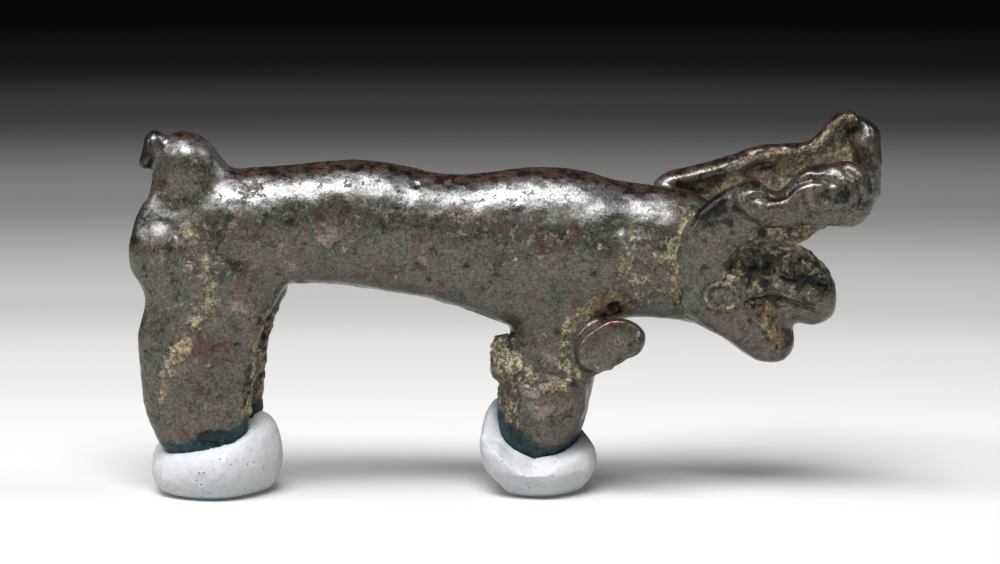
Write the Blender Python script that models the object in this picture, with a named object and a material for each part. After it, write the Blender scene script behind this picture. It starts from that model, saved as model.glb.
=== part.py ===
"""Small cast bronze votive animal with two cupped horns, held upright by two lumps of putty.

The animal stands along X and looks towards +X. Its near side, with the heavy raised forefoot, faces -Y.
+Z is up, and the origin is on the surface it stands on, under the middle of its length.

The casting is one solid. Each limb is a loft through ribs, a rib being an oval between an upper and a
lower point of the side view, with a half depth across the animal. The lofts overlap, and are then fused
into one skin, which is eased and thinned out.
"""

import math
from collections import namedtuple

import bmesh
import bpy
from mathutils import Vector

Collar = namedtuple("Collar", "behind ahead beside")
Rib = namedtuple("Rib", "upper lower deep side")

# Driving sizes, in metres. A collar is how far the putty reaches past the feet that stand in it.
FIGURE_LENGTH = 0.075
HIND_PUTTY_HEIGHT = 0.0061
HIND_PUTTY_COLLAR = Collar(behind=0.0017, ahead=0.0031, beside=0.0023)
FORE_PUTTY_HEIGHT = 0.0065
FORE_PUTTY_COLLAR = Collar(behind=0.0028, ahead=0.0020, beside=0.0030)
PUTTY_CLEARANCE = 0.00045
# How far the putty under the feet lifts the whole figure
SEAT_LIFT = 0.00065

# The figure's proportions are written in 75ths of its length, from the middle of the length, and from
# SEAT_LIFT above the floor.
MODULE = FIGURE_LENGTH / 75
SKIN_STEP = 0.28 * MODULE
EASING_SHRINK = 0.12

FIGURE_TRIANGLES = 7300
LOFT_SIDES = 28
LOFT_STEPS = 4
EYE_RING_SIDES = 8
MASS_EASING_ROUNDS = 22
DETAIL_EASING_ROUNDS = 4
PUTTY_SIDES = 30


def rib(upper_x, upper_z, lower_x, lower_z, deep, side=0.0):
    """An oval between two points of the side view, deep to each side of the plane y = side."""
    return Rib(Vector((upper_x, upper_z)), Vector((lower_x, lower_z)), deep, side)


def upright(x, top, bottom, deep, side=0.0):
    """A rib that stands upright at x."""
    return rib(x, top, x, bottom, deep, side)


def level(z, back, front, deep, side=0.0):
    """A rib that lies level at height z, from its back to its front."""
    return rib(back, z, front, z, deep, side)


# The side of the animal that looks at -Y
NEAR = -1
FAR = 1

TRUNK = [
    upright(-34.2, 27.6, 21.0, 2.6),
    upright(-31.6, 30.4, 19.2, 4.2),
    upright(-28.4, 31.7, 18.6, 4.8),
    upright(-25.6, 32.0, 19.2, 4.8),
    upright(-22.4, 32.1, 20.4, 4.8),
    upright(-18.1, 32.7, 20.6, 4.9),
    upright(-13.6, 32.8, 20.0, 4.8),
    upright(-9.1, 32.0, 19.3, 4.7),
    upright(-5.6, 31.4, 18.4, 4.7),
    upright(-1.6, 31.5, 17.0, 4.9),
    upright(2.9, 32.1, 15.6, 5.2),
    upright(7.4, 31.8, 16.0, 5.3),
    upright(11.4, 30.7, 17.0, 5.1),
    upright(14.9, 30.3, 17.1, 4.8),
    upright(18.4, 29.6, 16.6, 4.6),
    upright(21.9, 27.6, 15.8, 4.4),
    upright(24.6, 24.6, 16.0, 3.2),
]

# The stump of the tail, turned up over the rump
TAIL_STUMP = [
    level(28.4, -35.8, -26.2, 3.0),
    level(30.2, -35.2, -26.6, 3.1),
    level(31.8, -35.0, -27.4, 3.1),
    level(33.2, -34.6, -28.3, 2.9),
    level(34.4, -34.1, -29.2, 2.5),
    level(35.2, -33.5, -30.2, 1.9),
    level(35.75, -32.8, -31.3, 0.8),
]

# The broken flake that curls off the back of the stump
TAIL_FLAKE = [
    rib(-35.0, 36.1, -34.0, 35.6, 0.7, -0.3),
    rib(-35.8, 35.2, -34.0, 34.6, 1.3, -0.4),
    rib(-36.0, 33.7, -34.8, 33.3, 1.4, -0.5),
    rib(-36.4, 32.7, -35.3, 32.4, 1.2, -0.5),
    rib(-36.4, 32.1, -35.9, 31.9, 0.6, -0.5),
]

HIND_LEG = [
    level(29.4, -35.0, -29.4, 0.8, 1.4),
    level(28.4, -36.3, -27.0, 1.5, 1.6),
    level(26.7, -37.0, -24.4, 2.2, 1.9),
    level(24.6, -37.5, -22.3, 2.6, 2.2),
    level(22.3, -37.4, -21.4, 2.8, 2.4),
    level(20.6, -36.3, -21.9, 2.8, 2.4),
    level(19.1, -35.8, -22.8, 2.7, 2.4),
    level(17.6, -36.2, -23.7, 2.6, 2.4),
    level(15.9, -36.7, -24.4, 2.6, 2.4),
    level(13.6, -36.6, -24.9, 2.5, 2.4),
    level(10.6, -36.4, -25.2, 2.5, 2.3),
    level(7.9, -36.0, -25.5, 2.4, 2.3),
    level(5.6, -35.1, -25.8, 2.3, 2.2),
    level(3.9, -34.2, -26.6, 2.0, 2.1),
    level(2.9, -32.8, -28.2, 1.2, 2.0),
]
# The far hind leg stands this much further forward below the hip.
FAR_LEG_LEAD = 0.95
HIP_HEIGHT = 20.0

FORELEG = [
    level(24.0, 3.6, 11.4, 2.6),
    level(20.0, 2.2, 12.0, 3.6),
    level(17.4, 1.2, 11.4, 4.0),
    level(15.6, 0.6, 10.2, 3.9),
    level(14.0, 0.2, 9.7, 3.8),
    level(12.2, -0.3, 9.3, 3.7),
    level(10.2, -0.7, 8.7, 3.6),
    level(8.2, -0.8, 8.2, 3.5),
    level(6.2, -0.7, 7.8, 3.3),
    level(4.4, -0.2, 7.1, 2.9),
    level(3.0, 1.0, 5.9, 2.3),
    level(2.4, 2.4, 4.7, 1.2),
]

# The lower leg steps out on its near side, like a hoof or a wrapped foot.
HOOF = [
    rib(1.6, 12.0, 6.6, 11.8, 1.0, -2.6),
    rib(1.2, 11.0, 7.7, 10.8, 1.7, -2.5),
    rib(0.8, 9.2, 7.9, 8.8, 1.8, -2.3),
    rib(0.6, 7.0, 7.4, 6.8, 1.8, -2.0),
    rib(1.4, 4.8, 6.4, 4.8, 1.4, -1.8),
]

# The raised near forefoot, broken off to an oval stub
RAISED_FOOT = [
    rib(6.8, 14.7, 7.2, 12.9, 1.0, -4.6),
    rib(7.6, 16.1, 8.5, 12.5, 1.9, -4.8),
    rib(9.3, 17.3, 10.1, 12.6, 2.3, -5.0),
    rib(11.2, 17.8, 11.6, 13.5, 2.3, -5.1),
    rib(12.9, 17.2, 12.9, 14.1, 1.8, -5.1),
    rib(13.9, 16.2, 13.7, 14.9, 0.9, -5.1),
]
# The web of bronze that ties the raised foot to the leg
FOOT_WEB = [
    rib(8.2, 15.6, 7.3, 11.1, 1.6, -2.6),
    rib(10.4, 15.4, 9.1, 11.8, 1.7, -2.8),
    rib(12.4, 15.4, 11.6, 13.3, 1.3, -3.6),
]

# Lumps of corrosion down the back of the foreleg: x, y, z and radius
CORROSION_LUMPS = [
    (-0.4, -1.6, 14.5, 1.20),
    (-0.8, -0.6, 13.1, 1.00),
    (-0.5, -1.4, 11.8, 1.25),
    (-0.2, -2.4, 12.6, 1.25),
    (0.7, -3.0, 12.2, 1.15),
]

# The muzzle, above the open mouth
MUZZLE = [
    upright(20.8, 26.0, 17.4, 4.2),
    upright(23.2, 25.4, 18.0, 4.3),
    upright(25.6, 24.9, 17.8, 4.1),
    upright(27.4, 24.7, 17.0, 3.9),
    upright(29.2, 24.3, 16.6, 3.7),
    upright(30.8, 23.3, 16.2, 3.3),
    upright(31.9, 22.0, 16.7, 2.7),
    upright(32.7, 20.6, 17.3, 1.8),
    upright(33.0, 19.6, 18.3, 0.8),
]

# The jaw, from the cheek down to the chin
JAW = [
    rib(19.4, 22.6, 16.9, 17.8, 4.4),
    rib(21.8, 22.2, 19.1, 16.6, 5.4),
    rib(24.2, 21.0, 21.3, 15.5, 5.4),
    rib(26.4, 19.2, 23.1, 14.2, 4.8),
    rib(27.4, 17.6, 24.6, 13.1, 4.0),
    rib(28.3, 16.3, 26.0, 12.5, 3.0),
    rib(28.8, 15.0, 27.4, 12.5, 2.2),
    rib(28.9, 14.1, 28.2, 12.9, 1.0),
]

# Each cheek is a flat band that sweeps from the throat up round the back of the head, and leans out.
# It is widest at the bottom, where it carries the eye, and runs on into the jaw.
CHEEK_CENTRE = Vector((26.2, 21.3))
CHEEK_OUTER_LOW = 8.7
CHEEK_OUTER_HIGH = 10.6
CHEEK_INNER_LOW = 2.3
CHEEK_INNER_HIGH = 4.9
CHEEK_FROM_DEGREES = 204
CHEEK_TO_DEGREES = 106
CHEEK_FRONT_TURN = math.radians(168)
CHEEK_STEPS = 12
CHEEK_DEEP = 1.4
CHEEK_SIDE_LOW = 4.2
CHEEK_SIDE_HIGH = 6.0
FLAT_SECTION = 3.2
JAW_SECTION = 2.7
HORN_SECTION = 2.4

EYE_CENTRE = Vector((21.5, 20.2))
EYE_RADIUS = 1.7
EYE_RING_RADIUS = 0.34
EYE_SIDE = 5.65

# The near horn ends in a thick lobed bar, seen from its outer side.
NEAR_HORN = [
    upright(22.2, 30.4, 29.5, 0.8, -6.6),
    upright(22.9, 31.4, 28.6, 1.7, -6.7),
    upright(23.9, 31.8, 27.9, 2.1, -6.8),
    upright(25.1, 31.6, 27.5, 2.2, -6.8),
    upright(26.5, 30.6, 27.3, 2.0, -6.8),
    upright(27.6, 31.4, 27.3, 2.1, -6.8),
    upright(29.1, 33.0, 27.4, 2.2, -6.8),
    upright(30.9, 33.5, 27.4, 2.3, -6.8),
    upright(32.9, 33.7, 27.3, 2.3, -6.7),
    upright(34.4, 33.5, 27.3, 2.2, -6.6),
    upright(35.2, 32.9, 27.8, 2.0, -6.5),
    upright(35.8, 31.9, 28.3, 1.6, -6.4),
    upright(36.1, 30.8, 29.2, 0.9, -6.4),
]

# The far horn is a thin cupped wing, seen from its hollow inner side.
FAR_WING = [
    upright(15.2, 29.4, 28.2, 0.8, 4.2),
    upright(17.4, 30.2, 26.4, 1.1, 4.9),
    upright(20.4, 30.8, 25.0, 1.1, 5.7),
    upright(23.6, 31.8, 24.0, 1.1, 6.4),
    upright(26.6, 32.6, 22.6, 1.1, 6.9),
    upright(29.6, 32.8, 23.1, 1.0, 7.3),
    upright(32.0, 33.9, 24.7, 1.0, 7.5),
    upright(34.2, 36.2, 26.2, 1.0, 7.4),
    upright(36.0, 35.6, 27.0, 0.9, 7.0),
    upright(37.0, 33.0, 28.4, 0.6, 6.6),
]
FAR_RIM = [
    rib(14.6, 29.9, 15.0, 29.0, 0.7, 3.6),
    rib(16.2, 31.0, 16.7, 29.3, 1.4, 3.9),
    rib(19.5, 31.7, 19.9, 30.0, 1.6, 4.6),
    rib(22.7, 32.4, 23.1, 30.9, 1.5, 5.4),
    rib(25.5, 33.4, 25.8, 32.0, 1.3, 6.0),
    rib(28.6, 33.5, 28.7, 32.2, 1.2, 6.4),
    rib(30.7, 33.8, 31.3, 32.8, 1.1, 6.6),
    rib(32.3, 35.5, 32.9, 34.7, 1.2, 6.5),
    rib(33.5, 36.8, 33.9, 35.8, 1.2, 6.3),
    rib(35.0, 36.9, 34.9, 35.5, 0.9, 6.2),
]
# The rolled rim that closes the far horn's front end
FAR_END = [
    rib(33.8, 36.8, 34.6, 35.9, 0.8, 6.0),
    rib(34.9, 37.0, 36.3, 36.1, 1.8, 5.6),
    rib(35.3, 35.0, 37.4, 34.9, 2.3, 5.1),
    rib(35.6, 32.6, 37.5, 32.3, 2.3, 4.9),
    rib(35.6, 30.4, 37.5, 30.3, 2.1, 4.9),
    rib(35.2, 28.4, 37.5, 28.4, 1.9, 5.2),
    rib(34.4, 26.9, 36.5, 27.0, 1.1, 5.6),
]

BRONZE_COLOUR = (0.10, 0.082, 0.070, 1.0)
PUTTY_COLOUR = (0.60, 0.60, 0.63, 1.0)


def clear_scene():
    for existing in list(bpy.data.objects):
        bpy.data.objects.remove(existing, do_unlink=True)


def make_material(name, colour, roughness, metallic):
    material = bpy.data.materials.new(name)
    material.use_nodes = True
    shader = material.node_tree.nodes["Principled BSDF"]
    shader.inputs["Base Color"].default_value = colour
    shader.inputs["Roughness"].default_value = roughness
    shader.inputs["Metallic"].default_value = metallic
    return material


def add_object(name, bm, material=None):
    mesh = bpy.data.meshes.new(name)
    bmesh.ops.recalc_face_normals(bm, faces=bm.faces)
    bm.to_mesh(mesh)
    bm.free()
    mesh.shade_smooth()
    made = bpy.data.objects.new(name, mesh)
    bpy.context.scene.collection.objects.link(made)
    if material:
        mesh.materials.append(material)
    return made


def between(start, end, share):
    return start + (end - start) * share


def blend(before, start, end, after, share):
    """The Catmull-Rom curve from start to end, at this share of the way."""
    square, cube = share * share, share**3
    return 0.5 * (
        2 * start
        + (end - before) * share
        + (2 * before - 5 * start + 4 * end - after) * square
        + (3 * start - before - 3 * end + after) * cube
    )


def fill_between(ribs):
    """The ribs with LOFT_STEPS smooth steps from each to the next."""
    filled = []
    for index in range(len(ribs) - 1):
        around = [ribs[max(0, index - 1)], ribs[index], ribs[index + 1], ribs[min(len(ribs) - 1, index + 2)]]
        for step in range(LOFT_STEPS):
            share = step / LOFT_STEPS
            filled.append(Rib(*(blend(*values, share) for values in zip(*around))))
    filled.append(ribs[-1])
    return filled


def section(oval, squareness, grow):
    """The points round one rib: an oval, or a squarer superellipse. grow widens it all round."""
    middle = (oval.upper + oval.lower) / 2
    reach = (oval.upper - oval.lower) / 2
    reach = reach * (1 + grow / max(reach.length, grow))
    points = []
    for side in range(LOFT_SIDES):
        turn = math.tau * side / LOFT_SIDES
        along, across = math.cos(turn), math.sin(turn)
        along = math.copysign(abs(along) ** (2 / squareness), along)
        across = math.copysign(abs(across) ** (2 / squareness), across)
        place = middle + reach * along
        points.append(Vector((place.x, oval.side + (oval.deep + grow) * across, place.y)) * MODULE)
    return points


def add_loft(bm, ribs, squareness=2.0, grow=EASING_SHRINK):
    """One closed limb through the ribs. grow, in the figure's own units, makes it larger all round."""
    rings = [[bm.verts.new(point) for point in section(oval, squareness, grow)] for oval in fill_between(ribs)]
    for first, second in zip(rings, rings[1:]):
        for side in range(LOFT_SIDES):
            after = (side + 1) % LOFT_SIDES
            bm.faces.new((first[side], first[after], second[after], second[side]))
    bm.faces.new(rings[0])
    bm.faces.new(rings[-1])


def mirrored(ribs, hand, lead=0.0, below=0.0):
    """The ribs on the near or the far side, those under the height below set forward by lead."""
    moved = []
    for oval in ribs:
        forward = Vector((lead if oval.upper.y < below else 0.0, 0.0))
        moved.append(Rib(oval.upper, oval.lower + forward, oval.deep, oval.side * hand))
    return moved


def cheek_ribs(hand):
    """The cheek's band, worked out from its arc: ribs across it, from the throat to the horn's root."""
    ribs = []
    for step in range(CHEEK_STEPS + 1):
        share = step / CHEEK_STEPS
        turn = math.radians(CHEEK_FROM_DEGREES + (CHEEK_TO_DEGREES - CHEEK_FROM_DEGREES) * share)
        out = Vector((math.cos(turn), math.sin(turn)))
        outer = between(CHEEK_OUTER_LOW, CHEEK_OUTER_HIGH, share**0.6)
        inner = CHEEK_INNER_HIGH if turn < CHEEK_FRONT_TURN else CHEEK_INNER_LOW
        side = between(CHEEK_SIDE_LOW, CHEEK_SIDE_HIGH, share**1.5)
        deep = CHEEK_DEEP * between(0.75, 1.0, min(1.0, 8 * share))
        ribs.append(Rib(CHEEK_CENTRE + out * outer, CHEEK_CENTRE + out * inner, deep, side * hand))
    return ribs


def add_eye_ring(bm, hand):
    """A raised ring on the cheek."""
    rings = []
    for step in range(LOFT_SIDES):
        turn = math.tau * step / LOFT_SIDES
        out = Vector((math.cos(turn), 0.0, math.sin(turn)))
        ring = []
        for corner in range(EYE_RING_SIDES):
            roll = math.tau * corner / EYE_RING_SIDES
            reach = EYE_RADIUS + EYE_RING_RADIUS * math.cos(roll)
            centre = Vector((EYE_CENTRE.x, hand * (EYE_SIDE + EYE_RING_RADIUS * math.sin(roll)), EYE_CENTRE.y))
            ring.append(bm.verts.new((centre + out * reach) * MODULE))
        rings.append(ring)
    for index, ring in enumerate(rings):
        after = rings[(index + 1) % len(rings)]
        for corner in range(EYE_RING_SIDES):
            turned = (corner + 1) % EYE_RING_SIDES
            bm.faces.new((ring[corner], ring[turned], after[turned], after[corner]))


def add_lump(bm, x, y, z, radius):
    made = bmesh.ops.create_icosphere(bm, subdivisions=2, radius=radius * MODULE)
    bmesh.ops.translate(bm, verts=made["verts"], vec=Vector((x, y, z)) * MODULE)


def lift(bm):
    """Raises a mesh from the feet's own zero to where the putty holds them."""
    bmesh.ops.translate(bm, verts=bm.verts, vec=Vector((0.0, 0.0, SEAT_LIFT)))


def fuse_skin(shape, easing_rounds):
    """Fuses the overlapping limbs of a shape into one skin, with its joins eased."""
    remesh = shape.modifiers.new("one_skin", "REMESH")
    remesh.mode = "VOXEL"
    remesh.voxel_size = SKIN_STEP
    remesh.use_smooth_shade = True
    ease = shape.modifiers.new("eased_joins", "SMOOTH")
    ease.factor = 0.5
    ease.iterations = easing_rounds


def shown_mesh(shape):
    """A copy of the shape's mesh as its modifiers leave it."""
    bpy.context.view_layer.update()
    graph = bpy.context.evaluated_depsgraph_get()
    return bpy.data.meshes.new_from_object(shape.evaluated_get(graph))


def thin_out(shape, triangles):
    """Leaves the skin about this many triangles, the most where it bends the most."""
    fine = shown_mesh(shape)
    fine.calc_loop_triangles()
    thin = shape.modifiers.new("few_faces", "DECIMATE")
    thin.ratio = min(1.0, triangles / len(fine.loop_triangles))
    thin.use_collapse_triangulate = True


def main_masses():
    """The trunk, legs and head, fused, with wide soft joins."""
    bm = bmesh.new()
    for limb in (TRUNK, TAIL_STUMP, FORELEG, MUZZLE):
        add_loft(bm, limb)
    add_loft(bm, JAW, squareness=JAW_SECTION)
    add_loft(bm, mirrored(HIND_LEG, NEAR))
    add_loft(bm, mirrored(HIND_LEG, FAR, lead=FAR_LEG_LEAD, below=HIP_HEIGHT))
    masses = add_object("masses", bm)
    fuse_skin(masses, MASS_EASING_ROUNDS)
    mesh = shown_mesh(masses)
    bpy.data.objects.remove(masses)
    return mesh


def make_animal(material):
    bm = bmesh.new()
    bm.from_mesh(main_masses())
    for detail in (TAIL_FLAKE, HOOF, RAISED_FOOT, FOOT_WEB, FAR_RIM, FAR_END):
        add_loft(bm, detail)
    for hand in (NEAR, FAR):
        add_loft(bm, cheek_ribs(hand), squareness=FLAT_SECTION)
        add_eye_ring(bm, hand)
    for horn in (NEAR_HORN, FAR_WING):
        add_loft(bm, horn, squareness=HORN_SECTION)
    for lump in CORROSION_LUMPS:
        add_lump(bm, *lump)
    lift(bm)
    animal = add_object("bronze_animal", bm, material)
    fuse_skin(animal, DETAIL_EASING_ROUNDS)
    thin_out(animal, FIGURE_TRIANGLES)
    return animal


def make_foot_cutter(name, legs):
    """The feet grown by the clearance, to press a socket into the putty."""
    bm = bmesh.new()
    for leg in legs:
        add_loft(bm, leg, grow=EASING_SHRINK + PUTTY_CLEARANCE / MODULE)
    lift(bm)
    cutter = add_object(name, bm)
    cutter.hide_render = True
    cutter.display_type = "WIRE"
    return cutter


def footprint(legs, height, collar):
    """The middle and half size, along x and y, of the feet below this height with the collar round them."""
    low = [oval for leg in legs for oval in leg if oval.upper.y * MODULE + SEAT_LIFT < height]
    back = min(oval.upper.x for oval in low) * MODULE - collar.behind
    front = max(oval.lower.x for oval in low) * MODULE + collar.ahead
    near = min(oval.side - oval.deep for oval in low) * MODULE - collar.beside
    far = max(oval.side + oval.deep for oval in low) * MODULE + collar.beside
    return Vector((back + front, near + far)) / 2, Vector((front - back, far - near)) / 2


# A putty lump's profile, from its flat underside up over its rim: share of its outline and of its height
PUTTY_PROFILE = [
    (0.70, 0.0),
    (0.86, 0.06),
    (0.96, 0.24),
    (1.00, 0.48),
    (0.97, 0.72),
    (0.90, 0.90),
    (0.80, 1.00),
    (0.66, 1.00),
    (0.45, 0.94),
]
PUTTY_CROWN = 0.9
# How far a lump's outline swells and dips as it goes round
PUTTY_WAVES = 0.03
PUTTY_RIPPLES = 0.02
# How far each rim rises to its high side, as a share of its height
HIND_RIM_RISE = 0.28
FORE_RIM_RISE = 0.42


def make_putty(name, legs, height, collar, high_side, rise, material):
    """A lump of putty pressed round the feet. Its rim rises by the share rise towards high_side."""
    middle, half = footprint(legs, height, collar)
    bm = bmesh.new()
    underside = bm.verts.new((middle.x, middle.y, 0.0))
    crown = bm.verts.new((middle.x, middle.y, height * PUTTY_CROWN))
    spokes = []
    for side in range(PUTTY_SIDES):
        turn = math.tau * side / PUTTY_SIDES
        wobble = 1 + PUTTY_WAVES * math.sin(3 * turn + high_side) + PUTTY_RIPPLES * math.cos(5 * turn)
        rim = height * (1 + rise * math.cos(turn - high_side))
        spoke = []
        for out, up in PUTTY_PROFILE:
            x = middle.x + math.cos(turn) * half.x * wobble * out
            y = middle.y + math.sin(turn) * half.y * wobble * out
            spoke.append(bm.verts.new((x, y, rim * up)))
        spokes.append(spoke)
    for index, spoke in enumerate(spokes):
        after = spokes[(index + 1) % PUTTY_SIDES]
        bm.faces.new((underside, after[0], spoke[0]))
        bm.faces.new((crown, spoke[-1], after[-1]))
        for low in range(len(PUTTY_PROFILE) - 1):
            bm.faces.new((spoke[low], after[low], after[low + 1], spoke[low + 1]))
    putty = add_object(name, bm, material)
    socket = putty.modifiers.new("socket", "BOOLEAN")
    socket.operation = "DIFFERENCE"
    socket.solver = "EXACT"
    socket.use_self = True
    socket.object = make_foot_cutter(name + "_socket", legs)
    return putty


def main():
    clear_scene()
    bronze = make_material("bronze", BRONZE_COLOUR, 0.45, 0.6)
    putty = make_material("putty", PUTTY_COLOUR, 0.8, 0.0)
    make_animal(bronze)
    make_putty(
        "putty_under_hind_feet",
        [mirrored(HIND_LEG, NEAR), mirrored(HIND_LEG, FAR, lead=FAR_LEG_LEAD, below=HIP_HEIGHT)],
        HIND_PUTTY_HEIGHT,
        HIND_PUTTY_COLLAR,
        math.radians(40),
        HIND_RIM_RISE,
        putty,
    )
    make_putty(
        "putty_under_forefoot",
        [FORELEG, HOOF],
        FORE_PUTTY_HEIGHT,
        FORE_PUTTY_COLLAR,
        math.radians(120),
        FORE_RIM_RISE,
        putty,
    )


main()
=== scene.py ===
"""Looks of a small cast bronze votive animal that stands in two lumps of putty.

The figure looks towards +X, and the camera sees its near side, from -Y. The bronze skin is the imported
model's own form, remeshed finely, with the relief of the casting, its dents and its crust worked into it.
Places on the figure are in millimetres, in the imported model's frame.
"""

import math

import bpy
import numpy as np
from bpy.props import FloatProperty, FloatVectorProperty, IntProperty, PointerProperty
from bpy.types import Operator, Panel, PropertyGroup
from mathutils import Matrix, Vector, noise
from mathutils.bvhtree import BVHTree


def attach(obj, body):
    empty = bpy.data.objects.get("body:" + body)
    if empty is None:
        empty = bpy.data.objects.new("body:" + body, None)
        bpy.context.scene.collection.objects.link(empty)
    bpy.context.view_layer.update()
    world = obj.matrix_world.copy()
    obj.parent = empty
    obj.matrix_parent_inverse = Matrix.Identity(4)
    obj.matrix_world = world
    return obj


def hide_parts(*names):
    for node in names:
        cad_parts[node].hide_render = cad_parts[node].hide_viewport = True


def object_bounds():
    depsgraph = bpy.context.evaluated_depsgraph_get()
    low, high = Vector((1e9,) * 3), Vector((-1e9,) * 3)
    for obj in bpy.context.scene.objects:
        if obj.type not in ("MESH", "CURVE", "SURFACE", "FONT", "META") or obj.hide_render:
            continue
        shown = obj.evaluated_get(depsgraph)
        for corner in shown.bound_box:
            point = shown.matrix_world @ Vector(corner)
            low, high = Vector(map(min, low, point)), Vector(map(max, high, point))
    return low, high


bl_info = {
    "name": "Bronze votive animal",
    "version": (1, 0, 0),
    "blender": (4, 5, 0),
    "location": "View3D > Sidebar > Votive",
    "description": "Dresses a cast bronze votive animal and its putty, and lights them in a small studio",
    "category": "Object",
}

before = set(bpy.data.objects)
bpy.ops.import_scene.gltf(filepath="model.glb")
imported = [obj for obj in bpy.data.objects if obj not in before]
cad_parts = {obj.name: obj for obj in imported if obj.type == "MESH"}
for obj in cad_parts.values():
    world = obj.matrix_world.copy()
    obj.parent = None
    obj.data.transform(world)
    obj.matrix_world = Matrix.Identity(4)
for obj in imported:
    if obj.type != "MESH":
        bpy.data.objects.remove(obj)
CAD_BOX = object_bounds()

MM = 0.001
NEAR = -1
FAR = 1
PUTTY_NODES = ("putty_under_hind_feet", "putty_under_forefoot")

MERGE_DISTANCE = 1e-7
BRONZE_SMOOTHING_ROUNDS = 8
PUTTY_SMOOTHING_ROUNDS = 5
HOLLOW_ROUNDS = 10
PIT_DEPTH = 0.06
SEED_STEP = 17
FIRST_PUTTY_SEED = 40

# Sizes of the bronze's random patterns in millimetres, and how it shines
CLOUD_SIZE = 3.4
MOTTLE_SIZE = 1.8
FLECK_SIZE = 0.80
DUST_SIZE = 0.55
GRAIN_SIZE = 0.26
BRONZE_METALLIC = 0.62
BRONZE_IOR = 1.6
BRONZE_SMOOTHEST = 0.22
BRONZE_ROUGHEST = 0.36
CRUST_ROUGHNESS = 0.40
BRONZE_BUMP = 0.045
PUTTY_ROUGHNESS = 0.68
PUTTY_BUMP = 0.10

# The head. A line is a list of places, as x and z in the side view. An oval is a place and its half sizes.
# The rings round the eye are shares of its oval.
EYE = ((21.3, 20.7), 1.95, 1.55)
EYE_RING_OUTSIDE = 1.08
EYE_RING_INSIDE = 0.64
EYE_RING_STAIN = 1.07
NOSTRIL = (27.4, 19.7)
NOSTRIL_RADIUS = 0.5
MUZZLE = ((27.8, 23.0), 6.4, 4.0)
MUZZLE_TOP = ((26.4, 25.8), 2.0, 1.0)
LOWER_MUZZLE = ((28.6, 18.6), 3.6, 1.1)
LIP_LINE = [(23.8, 20.0), (24.8, 20.4), (26.6, 20.4), (27.9, 19.9), (29.2, 19.4), (30.6, 18.8)]
MOUTH_EDGE = [(24.1, 20.0), (24.9, 19.1), (25.3, 17.7), (26.0, 16.1)]
MOUTH_FLOOR = [(25.6, 18.4), (26.6, 17.2), (27.5, 15.8)]
CHEEK_BACK = [
    (21.3, 30.9), (19.1, 29.4), (17.5, 27.5), (16.5, 25.5),
    (16.3, 22.9), (16.9, 20.1), (18.3, 17.9),
]
CHEEK_FRONT = [(26.1, 28.6), (24.6, 27.3), (23.2, 25.0), (21.8, 23.1), (21.6, 22.4)]
CHEEK_CREST = [(22.4, 22.8), (23.4, 23.3)]
CHEEK_TOP = ((20.4, 29.4), 2.6, 1.9)

# The horns
NEAR_HORN_FOLD = [(24.4, 31.1), (26.0, 31.1), (27.3, 31.4), (28.3, 32.4), (29.9, 33.0), (31.8, 32.7)]
NEAR_HORN_END_FOLD = [(33.0, 34.0), (34.1, 33.0), (34.7, 31.6), (34.8, 30.4)]
NEAR_HORN_CREASE = [(25.2, 32.0), (25.9, 31.5), (25.4, 30.6)]
# The near horn's lines, each with its width and its depth
NEAR_HORN_LINES = [
    (NEAR_HORN_FOLD, 0.60, 0.36), (NEAR_HORN_END_FOLD, 0.60, 0.34),
    (NEAR_HORN_CREASE, 0.40, 0.22),
]
NEAR_HORN_RUB = [(29.6, 32.6), (29.8, 30.6)]
NEAR_HORN_RECESS = ((32.3, 31.7), 1.9, 1.0)
# The near horn's knob, painted pale pink, partly as a pink patch and partly as a highlight
NEAR_HORN_KNOB = (23.0, 31.2)
FAR_HORN_END_FOLD = [(34.2, 36.2), (34.6, 34.4), (35.2, 32.4), (35.6, 30.6)]
UNDER_HORN_SPOTS = [((25.8, 25.3), 0.8), ((28.4, 25.6), 0.9), ((28.9, 26.6), 0.7), ((31.2, 26.0), 0.6)]
# The gap under the far horn's rim, carved in and painted dark as shade
FAR_HORN_GAP = [(16.4, 30.3), (17.8, 30.6), (19.2, 30.8), (20.5, 31.1)]
# The far horn's rolled end bulges out here, and a highlight is painted on it
FAR_HORN_END_BULGE = (35.5, 34.7)
FAR_CUP_RUST = ((25.2, 31.7), 1.9, 1.1)
# Where a highlight is painted in the far horn's cup
FAR_CUP_HIGHLIGHT = ((26.0, 31.2), 1.6, 0.6)

# The trunk. A dent or a bump is a place, its radius and how deep or high it is.
BACK_DOT = (-8.9, 31.4)
BACK_DENTS = [
    ((11.1, 27.6), 1.2, 0.30), ((13.0, 27.0), 1.0, 0.16),
    (BACK_DOT, 0.4, 0.20), ((-24.9, 31.1), 1.5, 0.16),
]
FLANK_DENTS = [
    ((-17.0, 25.0), 1.8, 0.08), ((-12.4, 25.8), 1.2, 0.07),
    ((-33.7, 23.3), 0.9, 0.14), ((5.6, 21.4), 1.3, 0.08),
]
HIP_BUMPS = [((-34.6, 25.0), 3.2, 0.50), ((-31.4, 33.6), 3.0, 0.32), ((9.6, 28.2), 3.0, 0.16)]
TAN_SPOTS = [
    ((1.0, 24.4), 0.5), ((2.2, 24.2), 0.45), ((3.4, 24.6), 0.5),
    ((0.2, 22.5), 0.5), ((9.3, 25.7), 0.4),
]
NECK_CRUST = [
    ((12.2, 26.6), 0.8), ((12.0, 23.2), 1.0), ((13.6, 22.0), 0.9),
    ((15.3, 24.4), 0.7), ((15.4, 21.0), 0.7),
]
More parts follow.
